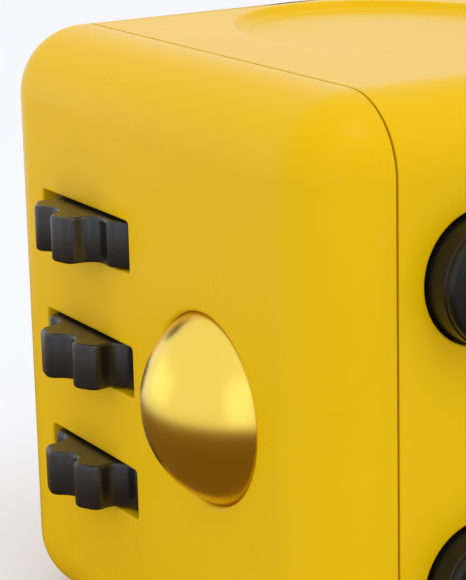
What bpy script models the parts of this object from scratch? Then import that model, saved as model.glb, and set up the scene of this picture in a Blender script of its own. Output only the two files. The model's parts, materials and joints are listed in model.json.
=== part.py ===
"""Pocket fidget cube with six play faces, modelled piece by piece.

Run with: blender --background --python part.py
Units are metres, +Z is up, and the origin is the middle of the face that the cube rests on.

Faces: -Y rollers and thumb ball, +X push buttons, +Z thumb dish, -X joystick, +Y rocker switch, -Z dial.
Each mechanism is laid out in the frame of its own face, whose local Z points out of the cube and whose
origin is the middle of the cube. MM turns the sizes below, which are in millimetres, into metres.
"""

import math

import bmesh
import bpy
from mathutils import Matrix, Vector

MM = 0.001

# Casing
SIDE = 33.0 * MM
HALF = SIDE / 2
EDGE_RADIUS = 3.75 * MM
EDGE_STEPS = 5
WALL = 1.5 * MM
END_WALL = 1.2 * MM
SEAM_FROM_FACE = 3.2 * MM
SEAM_GAP = 0.25 * MM
GAP = 0.3 * MM
RUN_GAP = 0.1 * MM
CUT_FROM = 14.0 * MM

# Snap tongues that hold each cover in the middle shell
TONGUE_X = 9.0 * MM
TONGUE_HALF_WIDTH = 1.5 * MM
TONGUE_THICK = 0.75 * MM
TONGUE_REACH = 1.9 * MM
TONGUE_SINK = 0.5 * MM
ROOT_SINK = 0.4 * MM
ROOT_REACH = 0.3 * MM

# Carrier plates, above and below the mechanisms
PLATE_INSIDE = 12.5 * MM
PLATE_THICK = 1.2 * MM
PLATE_HALF = 12.6 * MM
PLATE_BEVEL = 0.3 * MM
MODULE_HALF_HEIGHT = PLATE_INSIDE - GAP

# Thumb dish
DISH_CENTRE = (-1.2 * MM, 0.4 * MM)
DISH_HALF_X = 11.0 * MM
DISH_HALF_Y = 8.3 * MM
DISH_DEPTH = 0.5 * MM
DISH_SLOPE = 0.6 * MM

# Rollers
ROLLER_X = -6.48 * MM
ROLLER_OUT = 14.0 * MM
ROLLER_PITCH = 6.71 * MM
ROLLER_TIP = 4.85 * MM
ROLLER_VALLEY = 3.35 * MM
ROLLER_HALF_THICK = 1.24 * MM
ROLLER_LOBES = 8
ROLLER_TURN = (-75.0, -104.0, -107.0)
SLOT_HALF_LENGTH = 4.91 * MM
SLOT_HALF_HEIGHT = 1.36 * MM
AXLE_RADIUS = 0.75 * MM
BORE_RADIUS = AXLE_RADIUS + RUN_GAP
SPACER_RADIUS = 1.15 * MM
EAR_GAP = 1.0 * MM
EAR_THICK = 1.0 * MM
EAR_HALF_WIDTH = 1.8 * MM
AXLE_STICKS_OUT = 0.2 * MM
CLICK_RIDGE = 0.5 * MM
CLICK_GAP = 0.15 * MM
CLICK_SHEET = 0.3 * MM
CLICK_HALF_WIDTH = 2.0 * MM
CLICK_HALF_HEIGHT = 8.5 * MM

# Thumb ball
BALL_X = 5.82 * MM
BALL_OUT = 14.0 * MM
BALL_RADIUS = 5.35 * MM
BALL_HOLE_RADIUS = 4.88 * MM
SEAT_GAP = 0.15 * MM
CUP_RADIUS = 4.4 * MM
CUP_BACK = 7.6 * MM
CUP_BOSS_RADIUS = 1.2 * MM
GUIDE_INNER = 4.55 * MM
GUIDE_OUTER = 5.2 * MM
GUIDE_MOUTH = 10.0 * MM
GUIDE_BACK = 3.0 * MM
GUIDE_FLOOR = 0.8 * MM
CHASSIS_FRONT = 8.0 * MM
CHASSIS_BACK = 7.0 * MM
CHASSIS_LEFT = -12.0 * MM
CHASSIS_RIGHT = 11.0 * MM

# Push buttons, in a five-spot pattern
BUTTON_SPOTS = ((-7.5, 7.63), (7.5, 7.63), (0.0, 0.0), (-7.5, -7.63), (7.5, -7.63))
QUIET_BUTTONS = (2, 5)
BUTTON_RADIUS = 3.14 * MM
BUTTON_HOLE_RADIUS = 3.31 * MM
BUTTON_FLANGE = 3.9 * MM
BUTTON_TOP = HALF + 1.7 * MM
BUTTON_FOOT = 13.1 * MM
BUTTON_FOOT_RADIUS = 1.6 * MM
BUTTON_FLANGE_THICK = 0.6 * MM
DOME_RADIUS = 2.4 * MM
BOARD_BACK = 11.4 * MM
BOARD_FRONT = 12.2 * MM
BOARD_HALF = 11.0 * MM

# Joystick
STICK_OPENING = 6.2 * MM
STICK_PIVOT = 12.5 * MM
CAP_RADIUS = 4.6 * MM
CAP_UNDER = 16.9 * MM
CAP_TOP = 19.0 * MM
RING_OUTER = 3.6 * MM
RING_INNER = 2.4 * MM
RING_HALF = 0.7 * MM
TRUNNION_RADIUS = 0.5 * MM
BASE_BACK = 7.4 * MM
BASE_FRONT = 8.6 * MM
STICK_BASE_HALF = 6.7 * MM
STICK_EAR_NEAR = RING_OUTER + 0.4 * MM
STICK_EAR_FAR = RING_OUTER + 1.7 * MM
STICK_EAR_HALF = 1.3 * MM
WASHER_OUTER = 7.4 * MM
WASHER_INNER = 2.6 * MM
WASHER_THICK = 0.5 * MM

# Rocker switch
ROCKER_HALF_WIDTH = 3.1 * MM
ROCKER_PIVOT = 13.6 * MM
ROCKER_TILT = math.radians(11.0)
ROCKER_OPENING = (3.4 * MM, 6.5 * MM)
ROCKER_BASE_HALF = 9.8 * MM
ROCKER_EAR_NEAR = 3.5 * MM
ROCKER_EAR_FAR = 4.7 * MM
ROCKER_EAR_HALF = 1.6 * MM
PIN_RADIUS = 0.6 * MM
PIN_HALF = 4.6 * MM
ROCKER_SPRING_RISE = 2.9 * MM
ROCKER_SPRING_REACH = 4.0 * MM
ROCKER_SPRING_SHEET = 0.3 * MM
ROCKER_SPRING_HALF = 1.2 * MM

# Dial
DIAL_RADIUS = 9.4 * MM
DIAL_OPENING = 9.7 * MM
DIAL_FACE = 16.1 * MM
DIAL_BACK = 14.1 * MM
DIAL_FLANGE = 10.6 * MM
HUB_HEAD_RADIUS = 2.7 * MM
HUB_SHANK_RADIUS = 1.6 * MM
HUB_THREAD_RADIUS = 1.2 * MM
DIAL_RECESS = 1.0 * MM
DIMPLE_AT = 6.1 * MM
DIMPLE_BALL = 4.5 * MM
DIMPLE_DEPTH = 0.8 * MM
FRICTION_INNER = 1.9 * MM
FRICTION_OUTER = 4.5 * MM
NUT_RADIUS = 2.4 * MM
NUT_HALF = 0.6 * MM

# Small screws that hold the mechanisms between the plates
SCREW_RADIUS = 0.4 * MM
SCREW_LENGTH = 3.4 * MM
SCREW_HEAD_RADIUS = 0.9 * MM
SCREW_HEAD_HEIGHT = 0.5 * MM
SCREW_LEFT = -10.5 * MM
SCREW_RIGHT = 8.9 * MM

FINE = 48
ROUND = 28
SMALL = 20


def clear_scene():
    for obj in list(bpy.data.objects):
        bpy.data.objects.remove(obj, do_unlink=True)


def new_collection(name):
    made = bpy.data.collections.new(name)
    bpy.context.scene.collection.children.link(made)
    return made


def plastic_or_metal(name, colour, roughness, metallic=0.0):
    """A Principled material of one colour."""
    made = bpy.data.materials.new(name)
    made.use_nodes = True
    shader = made.node_tree.nodes["Principled BSDF"]
    shader.inputs["Base Color"].default_value = (*colour, 1.0)
    shader.inputs["Roughness"].default_value = roughness
    shader.inputs["Metallic"].default_value = metallic
    made.diffuse_color = (*colour, 1.0)
    return made


clear_scene()
PARTS = new_collection("fidget_cube")
CUTTERS = new_collection("cutters")

YELLOW = plastic_or_metal("yellow_abs", (0.80, 0.47, 0.02), 0.45)
BLACK = plastic_or_metal("black_abs", (0.02, 0.02, 0.02), 0.40)
GOLD = plastic_or_metal("gold_plating", (0.90, 0.62, 0.20), 0.22, 1.0)
GREY = plastic_or_metal("grey_acetal", (0.35, 0.36, 0.37), 0.50)
STEEL = plastic_or_metal("bright_steel", (0.60, 0.60, 0.62), 0.30, 1.0)
SPRING = plastic_or_metal("spring_steel", (0.50, 0.50, 0.52), 0.35, 1.0)
SILICONE = plastic_or_metal("white_silicone", (0.80, 0.80, 0.78), 0.60)
BOARD = plastic_or_metal("green_board", (0.03, 0.20, 0.08), 0.45)


def new_frame(name, turn):
    """An empty at the middle of the cube, turned so that its local Z points out of one face."""
    frame = bpy.data.objects.new(name, None)
    frame.location = (0.0, 0.0, HALF)
    frame.rotation_euler = turn
    PARTS.objects.link(frame)
    return frame


UP = new_frame("frame_up", (0.0, 0.0, 0.0))
ROLL = new_frame("frame_roll", (math.pi / 2, 0.0, 0.0))
CLICK = new_frame("frame_click", (math.pi / 2, 0.0, math.pi / 2))
GLIDE = new_frame("frame_glide", (math.pi / 2, 0.0, -math.pi / 2))
FLIP = new_frame("frame_flip", (math.pi / 2, 0.0, math.pi))
SPIN = new_frame("frame_spin", (math.pi, 0.0, 0.0))

ALONG_X = (0.0, math.pi / 2, 0.0)
ALONG_Y = (-math.pi / 2, 0.0, 0.0)
ALONG_Z = (0.0, 0.0, 0.0)


def place(obj, frame, at=(0.0, 0.0, 0.0), turn=ALONG_Z, material=None):
    """Puts an object in a face's frame. With a material it is a piece, without one it is a cutter."""
    obj.parent = frame
    obj.location = at
    obj.rotation_euler = turn
    if material is None:
        CUTTERS.objects.link(obj)
        obj.hide_render = True
        obj.display_type = "WIRE"
    else:
        PARTS.objects.link(obj)
        obj.data.materials.append(material)
    return obj


def mesh_object(name, shape):
    """An object from a bmesh, which is freed."""
    data = bpy.data.meshes.new(name)
    shape.to_mesh(data)
    shape.free()
    return bpy.data.objects.new(name, data)


def block(name, frame, low, high, material=None, bevel=0.0, steps=2):
    """A box between two corners, with its edges rounded if bevel is given."""
    low, high = Vector(low), Vector(high)
    shape = bmesh.new()
    bmesh.ops.create_cube(shape, size=1.0, matrix=Matrix.Diagonal((*(high - low), 1.0)))
    if bevel:
        bmesh.ops.bevel(
            shape, geom=shape.edges[:], offset=bevel, segments=steps, profile=0.5, affect="EDGES"
        )
    return place(mesh_object(name, shape), frame, (low + high) / 2, ALONG_Z, material)


def rod(name, frame, radius, low, high, at=(0.0, 0.0), turn=ALONG_Z, material=None, steps=ROUND, top=None):
    """A cylinder, or a cone to the radius top, from low to high along its own axis.

    at is where the axis passes, given along the two other directions of the frame.
    """
    shape = bmesh.new()
    bmesh.ops.create_cone(
        shape,
        cap_ends=True,
        segments=steps,
        radius1=radius,
        radius2=radius if top is None else top,
        depth=high - low,
    )
    middle = (low + high) / 2
    if turn == ALONG_X:
        spot = (middle, at[0], at[1])
    elif turn == ALONG_Y:
        spot = (at[0], middle, at[1])
    else:
        spot = (at[0], at[1], middle)
    return place(mesh_object(name, shape), frame, spot, turn, material)


def ball(name, frame, radius, at, material=None, steps=32, scale=None):
    shape = bmesh.new()
    bmesh.ops.create_uvsphere(shape, u_segments=steps, v_segments=steps // 2, radius=radius)
    if scale:
        bmesh.ops.scale(shape, vec=scale, verts=shape.verts)
    return place(mesh_object(name, shape), frame, at, ALONG_Z, material)


def turned(name, frame, profile, at=(0.0, 0.0), material=None, steps=ROUND, closed=False):
    """A turned piece. The profile is (radius, height) pairs, down the outer side; closed makes a ring."""
    shape = bmesh.new()
    points = [shape.verts.new((radius, 0.0, height)) for radius, height in profile]
    for first, second in zip(points, points[1:]):
        shape.edges.new((first, second))
    if closed:
        shape.edges.new((points[-1], points[0]))
    obj = place(mesh_object(name, shape), frame, (at[0], at[1], 0.0), ALONG_Z, material)
    screw = obj.modifiers.new("turn", "SCREW")
    screw.steps = steps
    screw.render_steps = steps
    screw.use_merge_vertices = True
    screw.merge_threshold = 0.00001
    screw.use_smooth_shade = False
    return obj


def outline(name, frame, loops, half, at, turn, material):
    """A flat piece: closed outlines filled and given a thickness; the second loop is a hole."""
    data = bpy.data.curves.new(name, "CURVE")
    data.dimensions = "2D"
    data.fill_mode = "BOTH"
    data.extrude = half
    for loop in loops:
        spline = data.splines.new("POLY")
        spline.points.add(len(loop) - 1)
        for point, (x, y) in zip(spline.points, loop):
            point.co = (x, y, 0.0, 1.0)
        spline.use_cyclic_u = True
    return place(bpy.data.objects.new(name, data), frame, at, turn, material)


def coil(name, frame, radius, wire, low, high, turns, at, material=SPRING):
    """A compression spring between two heights on an axis along the frame's Z."""
    per_turn = 10
    count = turns * per_turn
    data = bpy.data.curves.new(name, "CURVE")
    data.dimensions = "3D"
    data.bevel_depth = wire
    data.bevel_resolution = 2
    data.use_fill_caps = True
    spline = data.splines.new("POLY")
    spline.points.add(count)
    for step, point in enumerate(spline.points):
        angle = 2 * math.pi * step / per_turn
        height = low + wire + (high - low - 2 * wire) * step / count
        point.co = (radius * math.cos(angle), radius * math.sin(angle), height, 1.0)
    return place(bpy.data.objects.new(name, data), frame, (at[0], at[1], 0.0), ALONG_Z, material)


def combine(piece, others, operation):
    """Adds an exact Boolean for each of the other shapes."""
    for other in others:
        step = piece.modifiers.new(other.name, "BOOLEAN")
        step.operation = operation
        step.solver = "EXACT"
        step.object = other
    return piece


def circle(radius, steps):
    angles = [2 * math.pi * step / steps for step in range(steps)]
    return [(radius * math.cos(angle), radius * math.sin(angle)) for angle in angles]


# ---- Casing: front cover, middle shell and back cover ----


def casing_piece(name, low_y, high_y, cuts):
    """The rounded cube between two planes, hollow inside."""
    shell = block(name, UP, (-HALF,) * 3, (HALF,) * 3, YELLOW, EDGE_RADIUS, EDGE_STEPS)
    slab = block(f"{name}_slab", UP, (-SIDE, low_y, -SIDE), (SIDE, high_y, SIDE))
    inner = HALF - WALL
    end = HALF - END_WALL
    cavity = block(
        f"{name}_cavity", UP, (-inner, -end, -inner), (inner, end, inner), None, EDGE_RADIUS - WALL, 3
    )
    combine(shell, [slab], "INTERSECT")
    return combine(shell, [cavity, *cuts], "DIFFERENCE")


def snap_tongues(name, cover, side):
    """Four tongues that reach from a cover into the middle shell; side is -1 for the front."""
    inner = HALF - WALL
    start = HALF - END_WALL - TONGUE_SINK
    end = HALF - SEAM_FROM_FACE - TONGUE_REACH
    half = TONGUE_HALF_WIDTH
    slim = half - 0.1 * MM
    ys = sorted((side * start, side * end))
    root = sorted((side * start, side * (HALF - SEAM_FROM_FACE + ROOT_REACH)))
    tongues = []
    for number, (x, z) in enumerate(((-1, -1), (1, -1), (-1, 1), (1, 1))):
        middle = x * TONGUE_X
        zs = sorted((z * (inner - GAP - TONGUE_THICK), z * (inner - GAP)))
        foot = sorted((z * (inner - GAP - TONGUE_THICK), z * (inner + ROOT_SINK)))
        tongues.append(
            block(
                f"{name}_tongue_{number}",
                UP,
                (middle - half, ys[0], zs[0]),
                (middle + half, ys[1], zs[1]),
            )
        )
        tongues.append(
            block(
                f"{name}_root_{number}",
                UP,
                (middle - slim, root[0], foot[0]),
                (middle + slim, root[1], foot[1]),
            )
        )
    return combine(cover, tongues, "UNION")


def roller_heights():
    """The middle of each roller, top to bottom, about the middle of the cube."""
    return [-0.04 * MM + ROLLER_PITCH * step for step in (1, 0, -1)]


def front_cover():
    cuts = []
    for number, height in enumerate(roller_heights()):
        cuts.append(
            block(
                f"slot_{number}",
                UP,
                (ROLLER_X - SLOT_HALF_LENGTH, -SIDE, height - SLOT_HALF_HEIGHT),
                (ROLLER_X + SLOT_HALF_LENGTH, -ROLLER_OUT, height + SLOT_HALF_HEIGHT),
                None,
                0.25 * MM,
                2,
            )
        )
    cuts.append(rod("ball_hole", ROLL, BALL_HOLE_RADIUS, BALL_OUT, SIDE, (BALL_X, 0.0), steps=FINE))
    relief = BALL_RADIUS + 2 * SEAT_GAP
    cuts.append(ball("ball_relief", ROLL, relief, (BALL_X, 0.0, BALL_OUT), steps=FINE))
    cover = casing_piece("front_cover", -SIDE, -(HALF - SEAM_FROM_FACE) - SEAM_GAP / 2, cuts)
    return snap_tongues("front", cover, -1)


def middle_shell():
    dish = rod(
        "dish_cut",
        UP,
        1.0 - DISH_SLOPE / DISH_HALF_Y,
        HALF - DISH_DEPTH,
        HALF + DISH_DEPTH,
        DISH_CENTRE,
        steps=FINE,
        top=1.0 + DISH_SLOPE / DISH_HALF_Y,
    )
    dish.data.transform(Matrix.Diagonal((DISH_HALF_X, DISH_HALF_Y, 1.0, 1.0)))
    cuts = [dish]
    for number, (u, v) in enumerate(BUTTON_SPOTS):
        spot = (u * MM, v * MM)
        cuts.append(rod(f"button_hole_{number}", CLICK, BUTTON_HOLE_RADIUS, CUT_FROM, SIDE, spot))
    cuts.append(rod("stick_hole", GLIDE, STICK_OPENING, CUT_FROM, SIDE, steps=FINE))
    cuts.append(rod("dial_hole", SPIN, DIAL_OPENING, CUT_FROM, SIDE, steps=FINE))
    edge = HALF - SEAM_FROM_FACE - SEAM_GAP / 2
    return casing_piece("middle_shell", -edge, edge, cuts)


def back_cover():
    half_u, half_v = ROCKER_OPENING
    opening = block(
        "rocker_hole",
        FLIP,
        (-half_u, -half_v, CUT_FROM),
        (half_u, half_v, SIDE),
        None,
        0.8 * MM,
    )
    cover = casing_piece("back_cover", HALF - SEAM_FROM_FACE + SEAM_GAP / 2, SIDE, [opening])
    return snap_tongues("back", cover, 1)


# ---- Carrier plates and their screws ----


def screw_spots(frame):
    """Where the plate screws pass: one into the roller chassis, one into the rocker base."""
    side = 1 if frame is UP else -1
    chassis = -(CHASSIS_FRONT + CHASSIS_BACK) / 2
    base = (BASE_BACK + BASE_FRONT) / 2
    return ((SCREW_LEFT, side * chassis), (SCREW_RIGHT, side * base))


def carrier_plates():
    low, high = PLATE_INSIDE, PLATE_INSIDE + PLATE_THICK
    for name, frame in (("top_plate", UP), ("bottom_plate", SPIN)):
        plate = block(
            name,
            frame,
            (-PLATE_HALF, -PLATE_HALF, low),
            (PLATE_HALF, PLATE_HALF, high),
            GREY,
            PLATE_BEVEL,
            1,
        )
        clear = SCREW_RADIUS + GAP / 2
        holes = [
            rod(f"{name}_hole_{number}", frame, clear, 0.0, SIDE, spot, steps=SMALL)
            for number, spot in enumerate(screw_spots(frame))
        ]
        if frame is SPIN:
            holes.append(rod("hub_hole", SPIN, HUB_SHANK_RADIUS + RUN_GAP, 0.0, SIDE))
        combine(plate, holes, "DIFFERENCE")


def plate_screws():
    """Pan-head screws through the plates, top and bottom, into the mechanisms' walls."""
    under = PLATE_INSIDE + PLATE_THICK + 0.1 * MM
    number = 0
    for frame in (UP, SPIN):
        for spot in screw_spots(frame):
            number += 1
            profile = [
                (0.0, under + SCREW_HEAD_HEIGHT),
                (SCREW_HEAD_RADIUS * 0.7, under + SCREW_HEAD_HEIGHT),
                (SCREW_HEAD_RADIUS, under + SCREW_HEAD_HEIGHT / 2),
                (SCREW_HEAD_RADIUS, under),
                (SCREW_RADIUS, under),
                (SCREW_RADIUS, under - SCREW_LENGTH),
                (0.0, under - SCREW_LENGTH - 0.3 * MM),
            ]
            turned(f"plate_screw_{number}", frame, profile, spot, STEEL, 12)


def screw_pockets(name):
    """Blind holes for the plate screws in a wall that stands between the plates."""
    depth = PLATE_INSIDE - SCREW_LENGTH - 0.6 * MM
    clear = SCREW_RADIUS + 0.05 * MM
    made = []
    for label, frame in (("top", UP), ("bottom", SPIN)):
        for number, spot in enumerate(screw_spots(frame)):
            pocket = f"{name}_{label}_pocket_{number}"
            made.append(rod(pocket, frame, clear, depth, SIDE, spot, steps=12))
    return made


# ---- Rollers and thumb ball, on the -Y face ----


def roller_outline():
    """Eight wide flat-topped lobes with rounded valleys between them."""
    points = []
    per_lobe = 12
    for step in range(ROLLER_LOBES * per_lobe):
        angle = 2 * math.pi * step / (ROLLER_LOBES * per_lobe)
        wave = (1 + math.cos(ROLLER_LOBES * angle)) / 2
        height = min(1.0, 1.25 * wave**0.85)
        radius = ROLLER_VALLEY + (ROLLER_TIP - ROLLER_VALLEY) * height
        points.append((radius * math.cos(angle), radius * math.sin(angle)))
    return points


def rollers():
    names = ("roller_upper", "roller_middle", "roller_lower")
    for name, height, turn in zip(names, roller_heights(), ROLLER_TURN):
        outline(
            name,
            UP,
            [roller_outline(), circle(BORE_RADIUS, SMALL)],
            ROLLER_HALF_THICK,
            (ROLLER_X, -ROLLER_OUT, height),
            (0.0, 0.0, math.radians(turn)),
            BLACK,
        )


def ear_faces():
    """Inner heights of the chassis's two ears, bottom and top."""
    heights = roller_heights()
    reach = ROLLER_HALF_THICK + EAR_GAP
    return heights[-1] - reach, heights[0] + reach


def roller_axle_and_spacers():
    bottom, top = ear_faces()
    at = (ROLLER_X, -ROLLER_OUT)
    past = EAR_THICK + AXLE_STICKS_OUT
    rod("roller_axle", UP, AXLE_RADIUS, bottom - past, top + past, at, material=STEEL, steps=SMALL)
    edges = [bottom]
    for height in reversed(roller_heights()):
        edges += [height - ROLLER_HALF_THICK, height + ROLLER_HALF_THICK]
    edges.append(top)
    for number in range(0, len(edges), 2):
        low, high = edges[number] + RUN_GAP, edges[number + 1] - RUN_GAP
        profile = [(BORE_RADIUS, high), (SPACER_RADIUS, high), (SPACER_RADIUS, low), (BORE_RADIUS, low)]
        turned(f"roller_spacer_{number // 2 + 1}", UP, profile, at, BLACK, SMALL, closed=True)


def roller_chassis():
    """The wall behind the rollers and ball, with the axle's two ears and the guide tube of the ball's cup."""
    wall = block(
        "roller_chassis",
        ROLL,
        (CHASSIS_LEFT, -MODULE_HALF_HEIGHT, CHASSIS_BACK),
        (CHASSIS_RIGHT, MODULE_HALF_HEIGHT, CHASSIS_FRONT),
        BLACK,
    )
    bottom, top = ear_faces()
    ears = []
    for label, low, high in (("bottom", bottom - EAR_THICK, bottom), ("top", top, top + EAR_THICK)):
        ears.append(
            block(
                f"ear_{label}",
                ROLL,
                (ROLLER_X - EAR_HALF_WIDTH, low, CHASSIS_BACK + 0.4 * MM),
                (ROLLER_X + EAR_HALF_WIDTH, high, HALF - END_WALL - GAP),
                None,
                0.2 * MM,
                1,
            )
        )
    at = (BALL_X, 0.0)
    tube = rod("guide_tube", ROLL, GUIDE_OUTER, GUIDE_BACK, GUIDE_MOUTH, at, steps=FINE - 2)
    combine(wall, [*ears, tube], "UNION")
    bore = rod("guide_bore", ROLL, GUIDE_INNER, GUIDE_BACK + GUIDE_FLOOR, SIDE, at, steps=FINE - 2)
    at = (ROLLER_X, -ROLLER_OUT)
    axle_hole = rod("axle_hole", UP, AXLE_RADIUS + 0.05 * MM, -SIDE, SIDE, at, steps=SMALL)
    return combine(wall, [bore, axle_hole, *screw_pockets("chassis")], "DIFFERENCE")


def click_spring():
    """A flat spring with three rounded ridges, one behind each roller, drawn as a lobe presses it back."""
    face = ROLLER_OUT - ROLLER_TIP - CLICK_GAP
    back = CHASSIS_FRONT + CLICK_GAP
    strip = block(
        "roller_click_spring",
        ROLL,
        (ROLLER_X - CLICK_HALF_WIDTH, -CLICK_HALF_HEIGHT, back),
        (ROLLER_X + CLICK_HALF_WIDTH, CLICK_HALF_HEIGHT, back + CLICK_SHEET),
        SPRING,
    )
    ridges = []
    for number, height in enumerate(roller_heights()):
        ridges.append(
            rod(
                f"ridge_{number}",
                UP,
                CLICK_RIDGE,
                height - 1.0 * MM,
                height + 1.0 * MM,
                (ROLLER_X, -(face - CLICK_RIDGE)),
                steps=12,
            )
        )
    trim = block("ridge_trim", ROLL, (-SIDE, -SIDE, 0.0), (SIDE, SIDE, back))
    combine(strip, ridges, "UNION")
    return combine(strip, [trim], "DIFFERENCE")


def thumb_ball():
    ball("thumb_ball", ROLL, BALL_RADIUS, (BALL_X, 0.0, BALL_OUT), GOLD, 32)
    seat = BALL_RADIUS + SEAT_GAP
    widest = math.asin(CUP_RADIUS / seat)
    arc = [widest * step / 6 for step in range(7)]
    profile = [(seat * math.sin(angle), BALL_OUT - seat * math.cos(angle)) for angle in arc]
    profile += [
        (CUP_RADIUS, CUP_BACK),
        (CUP_BOSS_RADIUS, CUP_BACK),
        (CUP_BOSS_RADIUS, CUP_BACK - 1.0 * MM),
        (0.0, CUP_BACK - 1.0 * MM),
    ]
    turned("ball_cup", ROLL, profile, (BALL_X, 0.0), BLACK, ROUND)
    low = GUIDE_BACK + GUIDE_FLOOR + RUN_GAP
    coil("ball_spring", ROLL, 1.9 * MM, 0.2 * MM, low, CUP_BACK - RUN_GAP, 3, (BALL_X, 0.0))


# ---- Push buttons, on the +X face ----


def push_buttons():
    """Five buttons. Each stands on a snap dome, or on a soft pad where it is a quiet one."""
    flange_top = HALF - WALL - GAP
    cap = [
        (0.0, BUTTON_TOP),
        (BUTTON_RADIUS - 0.55 * MM, BUTTON_TOP - 0.02 * MM),
        (BUTTON_RADIUS - 0.18 * MM, BUTTON_TOP - 0.14 * MM),
        (BUTTON_RADIUS, BUTTON_TOP - 0.5 * MM),
        (BUTTON_RADIUS, flange_top),
        (BUTTON_FLANGE, flange_top),
        (BUTTON_FLANGE, flange_top - BUTTON_FLANGE_THICK),
        (BUTTON_FOOT_RADIUS, flange_top - BUTTON_FLANGE_THICK),
        (BUTTON_FOOT_RADIUS, BUTTON_FOOT),
        (0.0, BUTTON_FOOT),
    ]
    low, high = BOARD_FRONT + RUN_GAP, BUTTON_FOOT - RUN_GAP
    rises = [(math.sin(angle), math.cos(angle)) for angle in (0.0, 0.5, 1.0, math.pi / 2)]
    dome = [(DOME_RADIUS * across, low + (high - low) * up) for across, up in rises]
    under = [(radius * 0.93, low + (height - low) * 0.75) for radius, height in reversed(dome)]
    pad = [(0.0, high), (1.9 * MM, high), (2.2 * MM, low), (0.0, low)]
    for number, (u, v) in enumerate(BUTTON_SPOTS, 1):
        at = (u * MM, v * MM)
        turned(f"push_button_{number}", CLICK, cap, at, BLACK, ROUND)
        if number in QUIET_BUTTONS:
            turned(f"soft_pad_{number}", CLICK, pad, at, SILICONE, SMALL)
        else:
            turned(f"snap_dome_{number}", CLICK, dome + under, at, STEEL, SMALL)
    block(
        "button_board",
        CLICK,
        (-BOARD_HALF, -MODULE_HALF_HEIGHT, BOARD_BACK),
        (BOARD_HALF, MODULE_HALF_HEIGHT, BOARD_FRONT),
        BOARD,
    )


# ---- Joystick, on the -X face ----


def joystick():
    """A thumb stick on a two-axis gimbal: the ring tilts up and down, and the stick tilts sideways in it."""
    base = block(
        "joystick_base",
        GLIDE,
        (-STICK_BASE_HALF, -MODULE_HALF_HEIGHT, BASE_BACK),
        (STICK_BASE_HALF, MODULE_HALF_HEIGHT, BASE_FRONT),
        GREY,
    )
    ears = []
    for side in (-1, 1):
        us = sorted((side * STICK_EAR_NEAR, side * STICK_EAR_FAR))
        ears.append(
            block(
                f"stick_ear_{side}",
                GLIDE,
                (us[0], -STICK_EAR_HALF, BASE_FRONT - 0.4 * MM),
                (us[1], STICK_EAR_HALF, STICK_PIVOT + 1.2 * MM),
            )
        )
    combine(base, ears, "UNION")
    pivot, loose = (0.0, STICK_PIVOT), TRUNNION_RADIUS + RUN_GAP
    hole = rod("ear_hole", GLIDE, loose, -SIDE, SIDE, pivot, ALONG_X, steps=SMALL)
    combine(base, [hole], "DIFFERENCE")

    low, high = STICK_PIVOT - RING_HALF, STICK_PIVOT + RING_HALF
    profile = [(RING_INNER, high), (RING_OUTER, high), (RING_OUTER, low), (RING_INNER, low)]
    ring = turned("gimbal_ring", GLIDE, profile, material=GREY, steps=ROUND, closed=True)
    pins = []
    for side in (-1, 1):
        ends = sorted((side * (RING_INNER + 0.3 * MM), side * (STICK_EAR_FAR - 0.2 * MM)))
        name = f"ring_pin_{side}"
        pins.append(rod(name, GLIDE, TRUNNION_RADIUS, *ends, pivot, ALONG_X, steps=SMALL))
    combine(ring, pins, "UNION")
    cross = rod("ring_hole", GLIDE, loose, -SIDE, SIDE, pivot, ALONG_Y, steps=SMALL)
    combine(ring, [cross], "DIFFERENCE")

    stem = [
        (0.0, CAP_UNDER - 0.1 * MM),
        (1.1 * MM, CAP_UNDER - 0.1 * MM),
        (1.1 * MM, STICK_PIVOT + 1.8 * MM),
        (1.7 * MM, STICK_PIVOT + 1.2 * MM),
        (1.7 * MM, STICK_PIVOT - 1.2 * MM),
        (0.9 * MM, STICK_PIVOT - 1.5 * MM),
        (0.9 * MM, BASE_FRONT + 0.9 * MM),
        (0.0, BASE_FRONT + 0.7 * MM),
    ]
    stick = turned("joystick_stem", GLIDE, stem, material=GREY, steps=ROUND - 4)
    reach = RING_OUTER - 0.3 * MM
    across = rod("stem_pin", GLIDE, TRUNNION_RADIUS, -reach, reach, pivot, ALONG_Y, steps=SMALL)
    combine(stick, [across], "UNION")

    rim = CAP_RADIUS - 0.5 * MM
    cap = [
        (0.0, CAP_TOP - 0.7 * MM),
        (rim * 0.5, CAP_TOP - 0.55 * MM),
        (rim * 0.85, CAP_TOP - 0.15 * MM),
        (rim, CAP_TOP),
        (CAP_RADIUS - 0.1 * MM, CAP_TOP - 0.2 * MM),
        (CAP_RADIUS, CAP_TOP - 0.6 * MM),
        (CAP_RADIUS - 0.5 * MM, CAP_UNDER + 0.3 * MM),
        (CAP_RADIUS - 1.2 * MM, CAP_UNDER),
        (0.0, CAP_UNDER),
    ]
    turned("joystick_cap", GLIDE, cap, material=BLACK, steps=ROUND)

    top = HALF - WALL - GAP
    under = top - WASHER_THICK
    washer = [(WASHER_INNER, top), (WASHER_OUTER, top), (WASHER_OUTER, under), (WASHER_INNER, under)]
    turned("joystick_washer", GLIDE, washer, material=BLACK, steps=FINE - 12, closed=True)
    low, high = BASE_FRONT + RUN_GAP, STICK_PIVOT - 1.6 * MM
    coil("joystick_spring", GLIDE, 2.0 * MM, 0.2 * MM, low, high, 3, (0.0, 0.0))


# ---- Rocker switch, on the +Y face ----


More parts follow.
